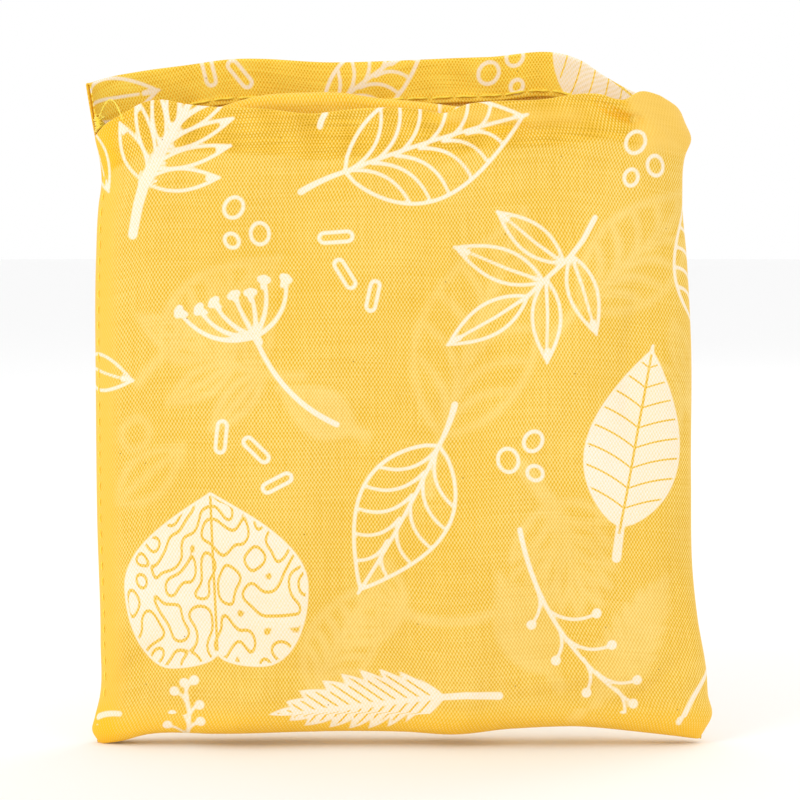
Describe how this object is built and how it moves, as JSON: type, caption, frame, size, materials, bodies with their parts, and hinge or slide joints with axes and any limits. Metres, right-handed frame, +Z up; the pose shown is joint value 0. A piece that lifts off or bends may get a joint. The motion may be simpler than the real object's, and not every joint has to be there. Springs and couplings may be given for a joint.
{
  "type": "foldable tote bag",
  "caption": "Foldable tote bag of thin cloth, folded and slipped into its own open-mouthed pouch with stitched hems that pull open.",
  "frame": {"origin": "middle of the pouch's turned-under base, on the surface it stands on", "axes": "+Z up towards the mouth, +X to the right of someone facing the printed front, the front faces -Y"},
  "size_m": [0.1258, 0.0232, 0.1376],
  "materials": {
    "pouch_cloth": "thin semi-sheer plain-weave polyester, printed in one pale ink",
    "hem_cloth": "the same cloth in two layers, deeper in colour",
    "tote_cloth": "the same printed cloth, folded",
    "strap_cloth": "the same cloth folded into straps",
    "thread": "bright polyester sewing thread, slight sheen"
  },
  "bodies": {
    "pouch": {"pouch_front_panel": "pouch_cloth", "pouch_back_panel": "pouch_cloth", "side_seam_left": "hem_cloth", "side_seam_right": "hem_cloth", "bottom_seam": "hem_cloth", "side_topstitching_left": "thread", "side_topstitching_right": "thread", "bar_tack_left": "thread", "bar_tack_right": "thread"},
    "front_lip": {"front_mouth_hem": "hem_cloth", "front_hem_stitching": "thread"},
    "back_lip": {"back_mouth_hem": "hem_cloth", "back_hem_stitching": "thread"},
    "folded_tote": {"tote_front_panel": "tote_cloth", "tote_back_panel": "tote_cloth", "tote_front_hem": "hem_cloth", "tote_back_hem": "hem_cloth", "handle_front": "strap_cloth", "handle_front_stitching_lower": "thread", "handle_front_stitching_upper": "thread", "handle_back": "strap_cloth", "handle_back_stitching_lower": "thread", "handle_back_stitching_upper": "thread"}
  },
  "joints": [
    {"name": "tote_slide", "type": "slide", "parent": "pouch", "child": "folded_tote", "axis": [0, 0, 1], "range_m": [0, 0.13]},
    {"name": "front_lip_hinge", "type": "hinge", "parent": "pouch", "child": "front_lip", "pos_m": [0, -0.01075, 0.118], "axis": [1, 0, 0], "range_deg": [0, 35]},
    {"name": "back_lip_hinge", "type": "hinge", "parent": "pouch", "child": "back_lip", "pos_m": [0, 0.01075, 0.1286], "axis": [-1, 0, 0], "range_deg": [0, 35]}
  ]
}
